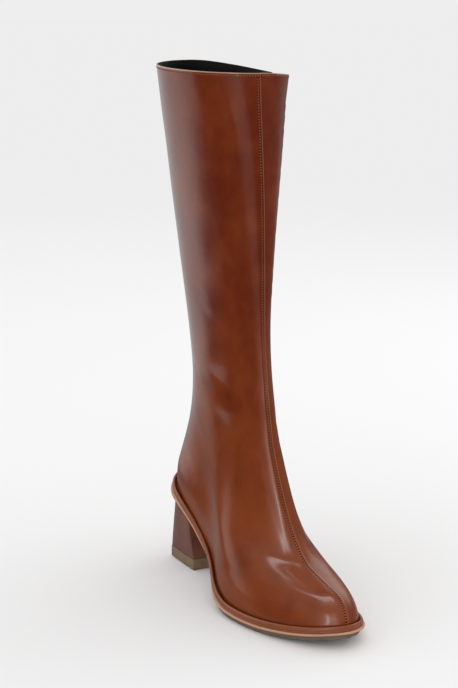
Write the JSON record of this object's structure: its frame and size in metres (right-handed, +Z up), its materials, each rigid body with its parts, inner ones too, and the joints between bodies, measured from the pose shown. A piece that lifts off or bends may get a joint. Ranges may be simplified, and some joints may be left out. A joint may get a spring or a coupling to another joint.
{
  "type": "knee-high boot",
  "caption": "Right knee-high boot of smooth chestnut leather with a round almond toe, flared block heel, welt all round and an inner side zip.",
  "frame": {"origin": "middle of the bounding box, on the floor under the boot", "axes": "+Z up, toe towards -Y, inner (medial) side of the foot towards +X"},
  "size_m": [0.103, 0.266, 0.4305],
  "materials": {
    "upper_leather": "smooth polished leather",
    "sock": "matt",
    "welt_leather": "satin",
    "sole_edge": "waxed edge",
    "tread_rubber": "matt",
    "heel_cover": "smooth polished leather",
    "lift_rubber": "matt",
    "zip_cloth": "woven",
    "zip_coil": "nylon coil",
    "nickel": "polished",
    "gunmetal": "satin"
  },
  "bodies": {
    "boot": {"upper": "upper_leather", "insole": "sock", "welt": "welt_leather", "midsole": "sole_edge", "outsole": "tread_rubber", "heel": "heel_cover", "heel_top_piece": "lift_rubber", "zip_tape": "zip_cloth", "zip_chain": "zip_coil", "zip_slider": "nickel"},
    "zip_pull": {"zip_pull": "gunmetal"}
  },
  "joints": [
    {"name": "pull_swing", "type": "hinge", "parent": "boot", "child": "zip_pull", "pos_m": [0.04845, 0.05274, 0.40869], "axis": [-0.0326, -0.9975, 0.0621], "range_deg": [-11, 150]}
  ]
}
